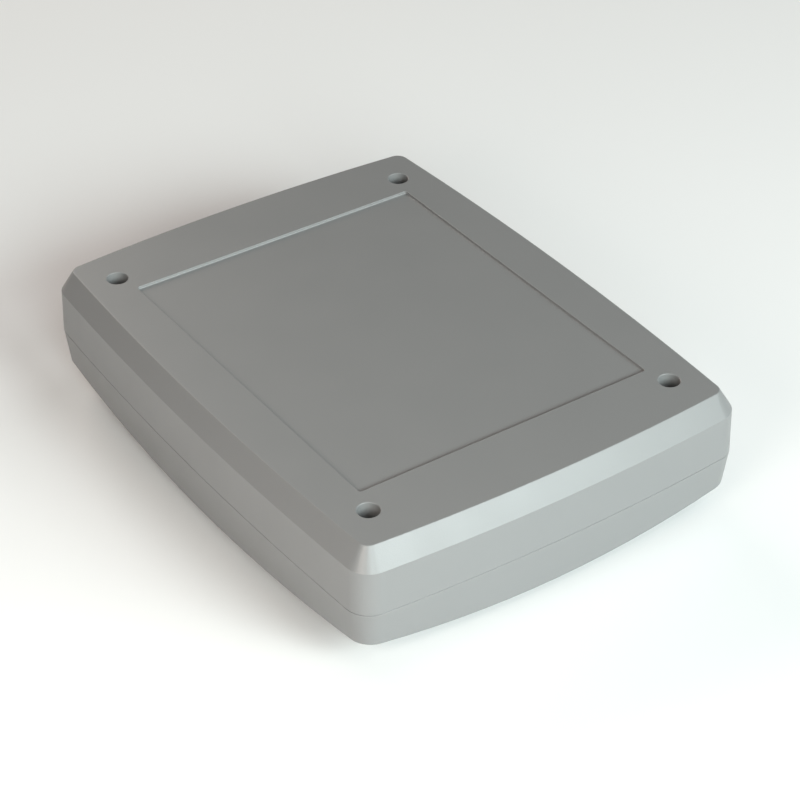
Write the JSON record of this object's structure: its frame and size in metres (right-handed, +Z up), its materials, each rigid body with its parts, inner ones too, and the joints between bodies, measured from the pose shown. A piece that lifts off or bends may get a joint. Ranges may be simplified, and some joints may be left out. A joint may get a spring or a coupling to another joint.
{
  "type": "electronics enclosure",
  "caption": "Closed plastic electronics enclosure: bowed drafted walls, chamfered cover screwed down from above with a shallow sunk field, and a crowned base on rubber feet.",
  "frame": {"origin": "middle of the plane that the four feet stand on", "axes": "+Z up through the top face, +Y along the longer side towards the back, +X along the shorter side to the right"},
  "size_m": [0.1208, 0.1548, 0.0366],
  "materials": {
    "housing": "light grey moulded plastic with a fine even spark texture",
    "seal": "soft black sealing cord",
    "screw": "zinc plated steel",
    "insert": "turned brass",
    "foot": "black moulded rubber"
  },
  "bodies": {
    "root": {"cover": "housing", "base": "housing", "rim_seal": "seal", "case_screw_front_left": "screw", "case_screw_front_right": "screw", "case_screw_back_left": "screw", "case_screw_back_right": "screw", "insert_front_left": "insert", "insert_front_right": "insert", "insert_back_left": "insert", "insert_back_right": "insert", "foot_front_left": "foot", "foot_front_right": "foot", "foot_back_left": "foot", "foot_back_right": "foot"}
  },
  "joints": []
}
